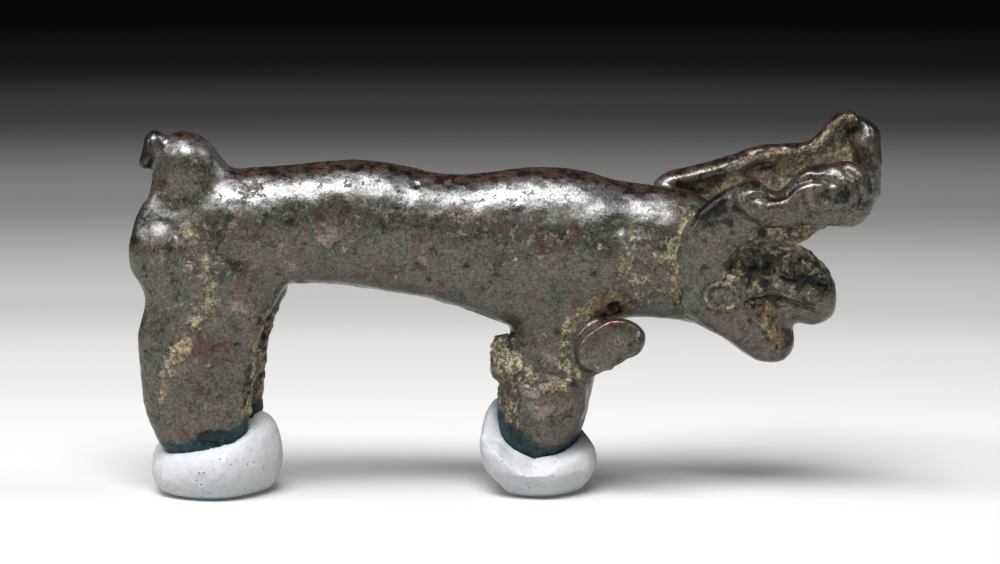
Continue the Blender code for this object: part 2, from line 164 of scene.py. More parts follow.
PINK_PATCHES = [
    ((3.2, 9.0), 1.9), ((4.2, 14.4), 1.3), ((-8.0, 24.6), 1.0), ((-17.6, 26.6), 1.6),
    ((-22.2, 25.6), 1.1), ((-21.5, 23.6), 0.9), ((-26.6, 19.4), 1.6), ((-25.6, 9.8), 1.2),
    ((-34.4, 24.6), 1.3), ((-27.0, 27.4), 1.2),
]
NECK_STAIN = ((13.4, 23.4), 3.4, 5.0)
NECK_HOLE = (10.7, 19.2)
NECK_HOLE_DEPTH = 0.80
SADDLE_CRUST = (-25.0, 31.2)
BELLY_SEAM = [(-20.6, 21.3), (-16.5, 21.0), (-12.1, 20.3), (-7.6, 19.4), (-3.1, 18.3), (-0.4, 17.1)]
FLANK_SCRATCH = [(-10.9, 22.4), (-10.7, 21.7)]

# The legs
HAUNCH_BACK = (-37.0, 27.6)
HAUNCH_GROOVE = [(-31.8, 27.2), (-30.2, 25.0), (-29.1, 22.9), (-28.9, 20.4), (-30.3, 18.2), (-31.7, 16.2)]
BESIDE_HAUNCH_GROOVE = [(x - 0.7, z - 0.4) for x, z in HAUNCH_GROOVE]
HAUNCH_STAIN = [(-31.4, 24.6), (-31.8, 21.0), (-31.6, 18.2)]
HAUNCH_CRUST = [(-31.2, 16.8), (-31.9, 15.6), (-33.1, 13.6), (-33.9, 11.4), (-34.2, 9.8)]
HAUNCH_CRUST_HEIGHTS = [9.0, 12.0, 15.5, 17.5]
HAUNCH_CRUST_WIDTHS = [0.35, 0.6, 1.35, 0.6]
HIND_LEG_RUST = ((-29.4, 13.2), 3.8, 4.6)
FOOT_UNDERCUT = ((-28.9, 6.3), 2.3, 0.85)
SHIN_SEAM = [(-23.4, 18.0), (-24.9, 13.4), (-25.4, 7.6)]
BACK_CRUST = [(-0.9, 15.3), (-0.3, 13.8), (0.6, 12.2), (0.3, 9.6), (0.6, 7.6)]
BAND_CRUST = [(1.0, 14.2), (2.3, 12.2), (3.8, 11.5), (5.3, 11.2)]
STUB_CRUST = [(5.9, 17.3), (5.8, 15.6), (5.7, 13.6), (7.0, 12.4)]
SHOULDER_CRUST = [(6.6, 17.9), (8.0, 19.1), (9.3, 19.6), (10.4, 20.1), (11.8, 19.7), (13.4, 19.9)]
HOOF_LIP = [(1.3, 11.2), (2.0, 11.3), (3.1, 10.9), (4.2, 10.85), (5.2, 11.2), (6.5, 12.2)]
# Where the hoof's lip is painted pale pink, partly as a flake and partly as a highlight
HOOF_FLAKE_AND_SHEEN = [(2.0, 10.8), (3.0, 10.5)]
HOOF_EDGE = [(1.35, 11.0), (1.3, 9.6), (1.5, 8.3)]
UNDER_STUB_TIP = [(11.2, 14.2), (13.6, 15.4)]
STUB_FACE_PLANE = -6.10
STUB_FLATTENING = 0.88

# How near to the putty the feet are stained, and where that is looked for
FEET_TOP = 13.0
STAIN_REACH = 3.0
FAR_AWAY = 9.0

# Where the putty under the forefoot meets its front, as x and height
FORE_CONTACT = [
    (-3.2, 5.6), (-0.8, 5.1), (0.4, 4.1), (2.7, 3.2),
    (5.3, 4.1), (6.9, 6.0), (7.4, 7.6), (9.6, 8.2),
]
FORE_CONTACT_LOWEST = 2.6

# How much of the forefoot's putty is drawn in at each height, to its left, its right and in depth
BASE_HEIGHTS = [0.0, 1.0, 2.6, 4.5]
BASE_LEFT = [0.30, 0.26, 0.09, 0.0]
BASE_RIGHT = [0.16, 0.12, 0.03, 0.0]
BASE_DEPTH = [0.18, 0.14, 0.04, 0.0]

# How near to the bronze the putty starts to be pulled to it, and where the pull is full
PULL_START = 1.15
PULL_FULL = 0.62

CAMERA_TILT_DEGREES = 10.0
CAMERA_DISTANCE = 0.5
PICTURE_WIDTH_AT_FIGURE = 0.1005
SENSOR_WIDTH = 36.0
CAMERA_TARGET = Vector((-0.0006, 0.0036, 0.02056))
CAMERA_CLIP_START = 0.01

# The softboxes' places and sizes, and what they face
LIGHT_AIM = (0.0, 0.0, 0.02)
KEY_PLACE = (-0.10, -0.25, 0.586)
KEY_SIZE = (0.55, 0.24)
LEFT_PLACE = (-0.50, -0.08, 0.36)
LEFT_SIZE = (0.16, 0.16)
RIGHT_PLACE = (0.42, -0.02, 0.40)
RIGHT_SIZE = (0.20, 0.20)
AIR_COLOUR = (0.5, 0.5, 0.5, 1.0)
FLOOR_LENGTH = 6.0

# Painted shade on the floor: how light its colour and glow are, by distance in metres behind the figure, as a
# share of its full tone; the darkening stands in for the light falling off
FADE_CENTRE = -0.45
FLOOR_FADE = [
    (0.03, 1.0), (0.07, 0.88), (0.11, 0.66), (0.19, 0.30),
    (0.273, 0.072), (0.333, 0.016), (0.40, 0.004),
]


class BronzeSettings(PropertyGroup):
    skin_step: FloatProperty(
        name="Skin step",
        description="Size of the fine faces of the bronze skin",
        default=0.000256,
        unit="LENGTH",
    )
    unevenness: FloatProperty(
        name="Unevenness",
        description="How far the cast skin swells and dips, in millimetres",
        default=0.105,
    )
    patina: FloatVectorProperty(
        name="Patina",
        description="The brown-grey of most of the bronze",
        subtype="COLOR",
        default=(0.116, 0.095, 0.079),
    )
    green_patina: FloatVectorProperty(
        name="Green patina",
        description="The green-grey clouds in the patina",
        subtype="COLOR",
        default=(0.083, 0.090, 0.070),
    )
    olive: FloatVectorProperty(
        name="Olive",
        description="The yellow-green specks all over the patina",
        subtype="COLOR",
        default=(0.135, 0.117, 0.070),
    )
    # Also laid as painted highlights in the far horn's cup, on its rolled end and on the broken foot's rim,
    # and as part of the pale pink on the near horn's knob and the hoof's lip
    copper: FloatVectorProperty(
        name="Copper",
        description="The pinkish metal where the patina has worn thin",
        subtype="COLOR",
        default=(0.33, 0.24, 0.215),
    )
    red_oxide: FloatVectorProperty(
        name="Red oxide",
        description="The dark red-brown oxide along the back and in the hollows",
        subtype="COLOR",
        default=(0.082, 0.030, 0.018),
    )
    crust: FloatVectorProperty(
        name="Crust",
        description="The yellow-brown earth crust in the grooves",
        subtype="COLOR",
        default=(0.430, 0.365, 0.212),
    )
    dark_crust: FloatVectorProperty(
        name="Dark crust",
        description="The darker parts of the crust",
        subtype="COLOR",
        default=(0.046, 0.037, 0.020),
    )
    rusty_crust: FloatVectorProperty(
        name="Rusty crust",
        description="The orange-brown crust in the mouth and under the neck",
        subtype="COLOR",
        default=(0.240, 0.110, 0.035),
    )
    # Painted highlight tint: a cooler grey laid on the upward-sloping flanks, where the key light's highlight
    # falls, so that the highlight reads white
    highlight_grey: FloatVectorProperty(
        name="Rubbed metal",
        description="The cooler grey where the back and the shoulders are rubbed",
        subtype="COLOR",
        default=(0.125, 0.130, 0.134),
    )
    # Also laid as painted shade in the gap under the far horn's rim
    black: FloatVectorProperty(
        name="Black",
        description="The dark glossy patches",
        subtype="COLOR",
        default=(0.011, 0.010, 0.009),
    )
    tide: FloatVectorProperty(
        name="Tide mark",
        description="The dark teal stain next to the putty",
        subtype="COLOR",
        default=(0.002, 0.050, 0.062),
    )


class PuttySettings(PropertyGroup):
    skin_step: FloatProperty(
        name="Skin step",
        description="Size of the fine faces of the putty",
        default=0.0002,
        unit="LENGTH",
    )
    fit_gap: FloatProperty(
        name="Fit gap",
        description="Gap between the putty and the bronze pressed into it",
        default=0.00004,
        unit="LENGTH",
    )
    colour: FloatVectorProperty(
        name="Putty",
        description="The pale bluish grey of the putty",
        subtype="COLOR",
        default=(0.47, 0.485, 0.51),
    )
    pale: FloatVectorProperty(
        name="Pale putty",
        description="The paler, drier parts of the putty",
        subtype="COLOR",
        default=(0.54, 0.54, 0.55),
    )
    grey: FloatVectorProperty(
        name="Grey putty",
        description="The greyer streaks in the putty",
        subtype="COLOR",
        default=(0.38, 0.39, 0.41),
    )
    speck: FloatVectorProperty(
        name="Specks",
        description="The dark specks in the putty's pits",
        subtype="COLOR",
        default=(0.13, 0.13, 0.14),
    )
    stain: FloatVectorProperty(
        name="Stain",
        description="The faint cyan stain at the putty's lower edge and round the feet",
        subtype="COLOR",
        default=(0.10, 0.36, 0.44),
    )


class StudioSettings(PropertyGroup):
    floor: FloatVectorProperty(
        name="Floor",
        description="The pale floor near the figure",
        subtype="COLOR",
        default=(0.53, 0.53, 0.525),
    )
    floor_glow: FloatProperty(
        name="Floor glow",
        description="Light that comes up through the floor and softens the shadows",
        default=0.12,
    )
    key_power: FloatProperty(
        name="Key power",
        description="Power of the large softbox",
        default=7.3,
        unit="POWER",
    )
    side_power: FloatProperty(
        name="Side power",
        description="Power of the left side light",
        default=0.9,
        unit="POWER",
    )
    fill_power: FloatProperty(
        name="Fill power",
        description="Power of the right side light",
        default=0.8,
        unit="POWER",
    )
    air: FloatProperty(
        name="Air",
        description="Strength of the even light from all round",
        default=0.12,
    )
    samples_seed: IntProperty(
        name="Noise seed",
        description="Shifts the random patterns of the bronze",
        default=3,
    )


def deselect_all():
    if bpy.context.object and bpy.context.object.mode != "OBJECT":
        bpy.ops.object.mode_set(mode="OBJECT")
    bpy.ops.object.select_all(action="DESELECT")


def make_active(piece):
    deselect_all()
    piece.select_set(True)
    bpy.context.view_layer.objects.active = piece


def merged_copy(node, name):
    """A new piece with a CAD node's mesh, its loose triangles merged."""
    piece = bpy.data.objects.new(name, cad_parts[node].data.copy())
    piece.data.name = name
    piece.data.materials.clear()
    bpy.context.scene.collection.objects.link(piece)
    make_active(piece)
    bpy.ops.object.mode_set(mode="EDIT")
    bpy.ops.mesh.select_all(action="SELECT")
    bpy.ops.mesh.remove_doubles(threshold=MERGE_DISTANCE)
    bpy.ops.object.mode_set(mode="OBJECT")
    return piece


def add_modifier(piece, kind, **settings):
    modifier = piece.modifiers.new(kind.lower(), kind)
    for setting, value in settings.items():
        setattr(modifier, setting, value)
    return modifier


def apply_modifiers(piece):
    make_active(piece)
    for modifier in list(piece.modifiers):
        bpy.ops.object.modifier_apply(modifier=modifier.name)


def fine_skin(node, name, step, smoothing):
    """A CAD node's form with its facets rounded off, in small even faces."""
    piece = merged_copy(node, name)
    add_modifier(piece, "SUBSURF", levels=1, render_levels=1)
    add_modifier(piece, "REMESH", mode="VOXEL", voxel_size=step, use_smooth_shade=True)
    add_modifier(piece, "SMOOTH", factor=0.5, iterations=smoothing)
    apply_modifiers(piece)
    return piece


def ease(value, start, end):
    """0 at start, 1 at end, with an S curve between. It works for either order of the two."""
    share = np.clip((value - start) / (end - start), 0, 1)
    return share * share * (3 - 2 * share)


class Skin:
    """A mesh as arrays, in millimetres, to be shaped by small moves along its normals."""

    def __init__(self, piece, seed):
        self.mesh = piece.data
        count = len(self.mesh.vertices)
        flat = np.empty(count * 3, np.float32)
        self.mesh.vertices.foreach_get("co", flat)
        self.points = flat.reshape(-1, 3).astype(float) / MM
        self.edges = np.empty(len(self.mesh.edges) * 2, np.int32)
        self.mesh.edges.foreach_get("vertices", self.edges)
        self.edges = self.edges.reshape(-1, 2)
        self.seed = seed
        self.read_normals()
        # Added to a distance, this makes the edge of a patch ragged
        self.ragged = 0.55 * self.clouds(1.2, 4)

    def read_normals(self):
        flat = np.empty(len(self.points) * 3, np.float32)
        self.mesh.vertex_normals.foreach_get("vector", flat)
        self.normals = flat.reshape(-1, 3).astype(float)

    def write(self):
        self.mesh.vertices.foreach_set("co", (self.points * MM).astype(np.float32).ravel())
        self.mesh.update()
        self.read_normals()

    def push(self, amount):
        """Moves the skin out by this many millimetres, or in where it is negative."""
        self.points += self.normals * np.asarray(amount)[:, None]
        self.write()

    def stay_inside(self):
        """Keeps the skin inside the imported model's overall box."""
        self.points = np.clip(self.points, np.array(CAD_BOX[0]) / MM, np.array(CAD_BOX[1]) / MM)
        self.write()

    def lower_front(self):
        """Presses the front of the putty under the forefoot down to the line where it meets the bronze."""
        x, y, z = self.points.T
        places, heights = zip(*FORE_CONTACT)
        limit = np.interp(x, places, heights) + np.minimum(0.35 * (y + 3.0), 0.0)
        over = np.maximum(z - np.maximum(limit, FORE_CONTACT_LOWEST), 0.0)
        self.points[:, 2] -= 0.9 * over * ease(y, 0.2, -1.4)
        self.write()

    def round_base(self, middle):
        """Draws the foot of a lump in, so that it bulges over a smaller base."""
        x, y, z = self.points.T
        left = np.interp(z, BASE_HEIGHTS, BASE_LEFT)
        right = np.interp(z, BASE_HEIGHTS, BASE_RIGHT)
        self.points[:, 0] -= (x - middle) * np.where(x < middle, left, right)
        self.points[:, 1] -= y * np.interp(z, BASE_HEIGHTS, BASE_DEPTH)
        self.write()

    def flatten_stub(self, face):
        """Cuts the raised foot's round end to the flat face where it broke."""
        past = np.minimum(self.points[:, 1] - STUB_FACE_PLANE, 0.0)
        self.points[:, 1] -= STUB_FLATTENING * past * (face > 0)
        self.write()

    def spread(self, values, rounds=1):
        """The values, each averaged with its neighbours', this many rounds."""
        count = len(self.points)
        first, second = self.edges[:, 0], self.edges[:, 1]
        degree = np.bincount(first, minlength=count) + np.bincount(second, minlength=count)
        for _ in range(rounds):
            total = np.bincount(first, values[second], count) + np.bincount(second, values[first], count)
            values = 0.5 * values + 0.5 * total / np.maximum(degree, 1)
        return values

    def hollowness(self, rounds):
        """How far each point lies below the mean of those round it, in millimetres."""
        mean = np.stack([self.spread(self.points[:, axis], rounds) for axis in range(3)], axis=1)
        return ((mean - self.points) * self.normals).sum(axis=1)

    def next_offset(self, second, third):
        """Where the next random pattern starts."""
        self.seed += SEED_STEP
        return Vector((self.seed, second * self.seed, third * self.seed))

    def clouds(self, size, octaves=3):
        """Soft random clouds from about -1 to 1, of this size in millimetres."""
        offset = self.next_offset(2.3, -1.7)
        return np.array([noise.fractal(Vector(p) / size + offset, 1.0, 2.0, octaves) for p in self.points])

    def pits(self, size):
        """Round cells of this size: 0 at a cell's middle, and larger towards its edge."""
        offset = self.next_offset(-1.0, 0.7)
        return np.array([noise.voronoi(Vector(p) / size + offset)[0][0] for p in self.points])

    def side(self, hand, start=-0.05, end=0.45):
        """1 on the skin that faces this hand's side, 0 on the other."""
        return ease(self.normals[:, 1] * hand, start, end)

    def reach(self, place):
        """Distance in the side view from a place."""
        return np.hypot(self.points[:, 0] - place[0], self.points[:, 2] - place[1])

    def from_path(self, path):
        """Distance in the side view from a line of places."""
        flat = self.points[:, [0, 2]]
        nearest = np.full(len(flat), np.inf)
        for start, end in zip(path, path[1:]):
            start, run = np.array(start), np.array(end) - np.array(start)
            share = np.clip(((flat - start) @ run) / (run @ run), 0, 1)
            nearest = np.minimum(nearest, np.linalg.norm(flat - start - share[:, None] * run, axis=1))
        return nearest

    def oval(self, place, half_length, half_height):
        """1 on an oval in the side view, less inside it."""
        x, _, z = self.points.T
        return np.hypot((x - place[0]) / half_length, (z - place[1]) / half_height)

    def from_putty(self):
        """Distance from the lumps of putty, or FAR_AWAY where it is more than a few millimetres."""
        away = np.full(len(self.points), FAR_AWAY)
        low = np.where(self.points[:, 2] < FEET_TOP)[0]
        for node in PUTTY_NODES:
            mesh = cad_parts[node].data
            corners = [tuple(vertex.co) for vertex in mesh.vertices]
            tree = BVHTree.FromPolygons(corners, [tuple(polygon.vertices) for polygon in mesh.polygons])
            for index in low:
                place, _, _, distance = tree.find_nearest(Vector(self.points[index]) * MM, STAIN_REACH * MM)
                if place:
                    away[index] = min(away[index], distance / MM)
        return away

    def keep(self, name, values):
        """Stores a share for each point, for the material to read."""
        attribute = self.mesh.attributes.new(name, "FLOAT", "POINT")
        attribute.data.foreach_set("value", np.clip(values, 0, 1).astype(np.float32))


class Shades:
    """A material's nodes, each added and linked by one call. Sizes are in millimetres."""

    def __init__(self, name):
        self.material = bpy.data.materials.new(name)
        self.material.use_nodes = True
        self.tree = self.material.node_tree
        self.shader = self.tree.nodes["Principled BSDF"]
        self.place = self.add("ShaderNodeTexCoord").outputs["Object"]

    def add(self, kind, **settings):
        node = self.tree.nodes.new(kind)
        for setting, value in settings.items():
            setattr(node, setting, value)
        return node

    def feed(self, socket, value):
        if isinstance(value, bpy.types.NodeSocket):
            self.tree.links.new(value, socket)
        elif hasattr(value, "__len__") and len(value) == 3:
            socket.default_value = (*value, 1.0)
        else:
            socket.default_value = value

    def share(self, name):
        """A share stored on the mesh."""
        return self.add("ShaderNodeAttribute", attribute_name=name).outputs["Fac"]

    def clouds(self, size, detail=4.0, roughness=0.55, distortion=0.0):
        node = self.add("ShaderNodeTexNoise")
        self.feed(node.inputs["Vector"], self.place)
        node.inputs["Scale"].default_value = 1 / (size * MM)
        node.inputs["Detail"].default_value = detail
        node.inputs["Roughness"].default_value = roughness
        node.inputs["Distortion"].default_value = distortion
        return node.outputs["Fac"]

    def cells(self, size):
        node = self.add("ShaderNodeTexVoronoi")
        self.feed(node.inputs["Vector"], self.place)
        node.inputs["Scale"].default_value = 1 / (size * MM)
        return node.outputs["Distance"]

    def between(self, value, start, end, low=0.0, high=1.0):
        """low at start and high at end, with an S curve between."""
        node = self.add("ShaderNodeMapRange", interpolation_type="SMOOTHSTEP")
        for socket, given in zip(node.inputs, (value, start, end, low, high)):
            self.feed(socket, given)
        return node.outputs["Result"]

    def sum(self, first, second, operation="ADD"):
        node = self.add("ShaderNodeMath", operation=operation)
        self.feed(node.inputs[0], first)
        self.feed(node.inputs[1], second)
        return node.outputs["Value"]

    def times(self, first, second):
        return self.sum(first, second, "MULTIPLY")

    def blend(self, share, first, second, way="MIX"):
        node = self.add("ShaderNodeMix", data_type="RGBA", blend_type=way)
        self.feed(node.inputs["Factor"], share)
        self.feed(node.inputs[6], first)
        self.feed(node.inputs[7], second)
        return node.outputs[2]

    def relief(self, height, depth):
        node = self.add("ShaderNodeBump")
        node.inputs["Distance"].default_value = depth * MM
        self.feed(node.inputs["Height"], height)
        self.feed(self.shader.inputs["Normal"], node.outputs["Normal"])

    def finish(self, **values):
        """Sets the shader's sockets, each to a number, a colour or a node's output."""
        for label, value in values.items():
            self.feed(self.shader.inputs[label.replace("_", " ").title().replace("Ior", "IOR")], value)
        return self.material


def bronze_material(settings):
    shades = Shades("bronze_patina")
    clouds = shades.clouds(CLOUD_SIZE, 6.0, 0.70, 0.6)
    mottle = shades.clouds(MOTTLE_SIZE, 6.0, 0.75, 0.4)
    flecks = shades.clouds(FLECK_SIZE, 5.0, 0.80)
    grain = shades.clouds(GRAIN_SIZE, 4.0, 0.80)
    dust = shades.clouds(DUST_SIZE, 5.0, 0.82)
    mottle_swing = shades.between(mottle, 0.30, 0.70, -0.5, 0.5)
    fleck_swing = shades.between(flecks, 0.30, 0.70, -0.5, 0.5)
    crust = shades.between(shades.sum(shades.share("crust"), shades.times(fleck_swing, 0.9)), 0.25, 0.80)
    wear_and_sheen = shades.between(shades.sum(shades.share("wear_and_sheen"), shades.times(mottle_swing, 0.6)), 0.25, 0.95)
    red = shades.between(shades.sum(shades.share("red"), shades.times(mottle_swing, 1.1)), 0.25, 0.80)
    black = shades.between(shades.sum(shades.share("black"), shades.times(fleck_swing, 0.8)), 0.20, 0.80)
    colour = shades.blend(shades.between(clouds, 0.40, 0.60), settings.patina, settings.green_patina)
    colour = shades.blend(shades.between(dust, 0.52, 0.64, 0.0, 0.60), colour, settings.olive)
    colour = shades.blend(shades.between(mottle, 0.48, 0.36, 0.0, 0.60), colour, settings.black)
    colour = shades.blend(shades.between(flecks, 0.54, 0.68, 0.0, 0.40), colour, settings.copper)
    colour = shades.blend(shades.times(red, 0.80), colour, settings.red_oxide)
    # Copper where the patina is worn thin, and painted highlights on the horns and the forefoot
    colour = shades.blend(shades.times(wear_and_sheen, 0.65), colour, settings.copper)
    # Painted highlight tint on the upward-sloping flanks
    colour = shades.blend(shades.times(shades.share("highlight_grey"), 0.75), colour, settings.highlight_grey)
    earth = shades.blend(shades.between(dust, 0.41, 0.60), settings.dark_crust, settings.crust)
    earth = shades.blend(shades.times(shades.share("red"), 0.75), earth, settings.rusty_crust)
    colour = shades.blend(shades.times(crust, 0.90), colour, earth)
    # Black patches, and the painted shade in the far horn's gap
    colour = shades.blend(black, colour, settings.black)
    tide = shades.blend(shades.between(flecks, 0.42, 0.60, 0.12, 1.0), settings.black, settings.tide)
    colour = shades.blend(shades.share("tide"), colour, tide)
    colour = shades.blend(1.0, colour, shades.between(grain, 0.36, 0.64, 0.50, 1.50), "MULTIPLY")
    rough = shades.between(mottle, 0.3, 0.7, BRONZE_SMOOTHEST, BRONZE_ROUGHEST)
    rough = shades.sum(rough, shades.times(crust, CRUST_ROUGHNESS))
    height = shades.sum(shades.times(grain, 0.25), shades.times(flecks, 0.5))
    height = shades.sum(height, shades.times(mottle, 1.0))
    height = shades.sum(height, shades.times(crust, shades.times(dust, 4.0)))
    shades.relief(height, BRONZE_BUMP)
    return shades.finish(
        base_color=colour,
        roughness=rough,
        metallic=shades.between(crust, 0.0, 1.0, BRONZE_METALLIC, 0.0),
        ior=BRONZE_IOR,
    )


def putty_material(settings):
    shades = Shades("putty_clay")
    clouds = shades.clouds(4.0, 4.0, 0.6)
    flecks = shades.clouds(0.45, 5.0, 0.75)
    pit = shades.between(shades.cells(0.55), 0.08, 0.20, 1.0, 0.0)
    pitted = shades.times(pit, shades.between(shades.clouds(2.6, 3.0), 0.50, 0.60))
    colour = shades.blend(shades.between(clouds, 0.35, 0.65, 0.0, 0.6), settings.colour, settings.pale)
    colour = shades.blend(shades.between(flecks, 0.50, 0.70, 0.0, 0.70), colour, settings.grey)
    colour = shades.blend(shades.times(pitted, 0.7), colour, settings.speck)
    colour = shades.blend(shades.share("stain"), colour, settings.stain)
    height = shades.sum(shades.times(flecks, 0.7), shades.times(shades.clouds(1.4, 3.0), 1.2))
    height = shades.sum(height, shades.times(pitted, -1.6))
    shades.relief(height, PUTTY_BUMP)
    return shades.finish(base_color=colour, roughness=PUTTY_ROUGHNESS)


def floor_material(settings):
    """Pale near the figure and in front of it, fading to dark far behind it: the fade is painted shade that
    stands in for the light falling off, and the floor's glow fades with it.
    """
    shades = Shades("pale_floor")
    away = shades.add("ShaderNodeVectorMath", operation="DISTANCE")
    shades.feed(away.inputs[0], shades.place)
    away.inputs[1].default_value = (0.0, FADE_CENTRE, 0.0)
    fade = shades.add("ShaderNodeValToRGB")
    fade.color_ramp.interpolation = "EASE"
    shades.feed(fade.inputs["Fac"], away.outputs["Value"])
    stops = fade.color_ramp.elements
    stops.remove(stops[1])
    for behind, tone in FLOOR_FADE:
        stop = stops.new(behind - FADE_CENTRE)
        stop.color = (*(tone * tint for tint in settings.floor), 1.0)
    stops[0].color = (*settings.floor, 1.0)
    return shades.finish(
        base_color=fade.outputs["Color"],
        emission_color=fade.outputs["Color"],
        emission_strength=settings.floor_glow,
        roughness=0.9,
        specular_ior_level=0.0,
    )


def relief_of_cheeks(skin):
    """The eyes and the cheeks' edges, the same on both sides. Returns relief, crust and black."""
    relief, crust, dark = np.zeros((3, len(skin.points)))
    ring = skin.oval(*EYE)
    back = skin.from_path(CHEEK_BACK)
    front = skin.from_path(CHEEK_FRONT)
    low = ease(skin.points[:, 2], 29.2, 28.0)
    for hand in (NEAR, FAR):
        across = skin.points[:, 1] * hand
        side = skin.side(hand, 0.2, 0.6) * ease(across, 2.2, 3.2)
        relief -= 0.24 * ease(abs(ring - EYE_RING_OUTSIDE), 0.15, 0.0) * side
        relief -= 0.20 * ease(abs(ring - EYE_RING_INSIDE), 0.13, 0.0) * side
        relief += 0.14 * ease(ring, 0.6, 0.0) * side
        crust += 0.55 * ease(ring, 0.66, 0.74) * ease(ring, 1.02, 0.92) * side
        dark += 0.55 * ease(abs(ring - EYE_RING_STAIN), 0.12, 0.0) * side
        dark += 0.55 * ease(abs(ring - EYE_RING_INSIDE), 0.10, 0.0) * side
        relief -= 0.34 * ease(back, 0.5, 0.0) * side * low
        dark += 0.5 * ease(back, 0.3, 0.0) * side
        crust += 0.85 * ease(back + skin.ragged, 0.75, 0.2) * side * (across < 5.6)
        relief -= 0.26 * ease(front, 0.4, 0.05) * side
        crust += 0.8 * ease(front, 0.9, 0.2) * side
        crest = ease(skin.from_path(CHEEK_CREST), 0.9, 0.2) * side
        relief += 0.14 * crest
        crust += crest
    return relief, crust, dark


def relief_of_head(skin):
    """Cheeks, nostril, lips, muzzle and mouth. Returns relief, crust, wear, black and the mouth's rust."""
    relief, crust, dark = relief_of_cheeks(skin)
    x, y, z = skin.points.T
    near = ease(skin.normals[:, 1], 0.1, -0.2) * (y < -1.2)
    lip = skin.from_path(LIP_LINE)
    relief -= 0.42 * ease(lip, 0.36, 0.0) * near
    dark += 0.8 * ease(lip, 0.22, 0.0) * near
    nostril = abs(skin.reach(NOSTRIL) - NOSTRIL_RADIUS)
    relief -= 0.18 * ease(nostril, 0.2, 0.0) * near
    dark += 0.4 * ease(nostril, 0.14, 0.0) * near
    muzzle = ease(skin.oval(*MUZZLE), 1.12, 0.85) * (abs(y) < 5.2)
    muzzle *= ease(lip, 0.0, 0.5) * ease(z, 18.6, 19.6)
    relief += (0.16 * skin.clouds(0.8, 3) + 0.14 * skin.clouds(1.9, 2)) * muzzle
    crust += 0.85 * muzzle * ease(skin.clouds(0.85, 4), -0.35, 0.35)
    dark += 0.85 * muzzle * ease(skin.clouds(1.1, 4), 0.0, 0.35)
    wear_and_sheen = 0.40 * ease(skin.oval(*LOWER_MUZZLE) + skin.ragged, 1.1, 0.5) * near
    floor = skin.from_path(MOUTH_FLOOR)
    open_side = ease(y, 1.0, -0.5)
    relief -= 0.40 * ease(floor, 1.15, 0.45) * open_side
    mouth = ease(floor + 1.3 * skin.ragged, 1.6, 0.7) * open_side
    edge = skin.from_path(MOUTH_EDGE)
    relief -= 0.15 * ease(edge, 0.4, 0.0) * near
    dark += 0.5 * ease(edge, 0.3, 0.0) * near
    crust += 0.75 * mouth
    dark += mouth * ease(skin.clouds(0.8, 3), 0.0, 0.3) + 0.6 * mouth * ease(x, 27.2, 28.4)
    return relief, crust, wear_and_sheen, dark, mouth * ease(skin.clouds(1.1, 3), -0.35, 0.25)


def relief_of_near_horn(skin):
    """The bar of the near horn, with its folds, its recess and its knob. Returns relief, wear with a painted
    highlight on the knob, and black.
    """
    x, y, z = skin.points.T
    bar = ease(y, -4.2, -4.8) * ease(x, 22.0, 22.8) * ease(z, 27.4, 28.0)
    face = bar * ease(skin.normals[:, 1], 0.35, 0.0)
    relief, dark = np.zeros((2, len(skin.points)))
    for path, width, depth in NEAR_HORN_LINES:
        line = skin.from_path(path)
        relief -= depth * ease(line, width, 0.0) * face
        dark += 0.35 * ease(line, 0.6 * width, 0.0) * face
    relief += (0.12 * skin.clouds(1.7, 2) + 0.05 * skin.clouds(0.7, 2)) * bar
    recess = ease(skin.oval(*NEAR_HORN_RECESS), 1.1, 0.75) * face
    relief -= 0.20 * recess
    dark += 0.45 * recess * ease(skin.clouds(0.9, 3), -0.1, 0.3) + 0.55 * bar * ease(skin.ragged, 0.0, 0.25)
    wear_and_sheen = 0.6 * ease(skin.from_path(NEAR_HORN_RUB), 0.8, 0.2) * face
    # Pale pink on the knob: partly a pink patch, partly a painted highlight
    wear_and_sheen += 0.5 * ease(skin.reach(NEAR_HORN_KNOB), 1.0, 0.3) * face
    return relief, wear_and_sheen, dark


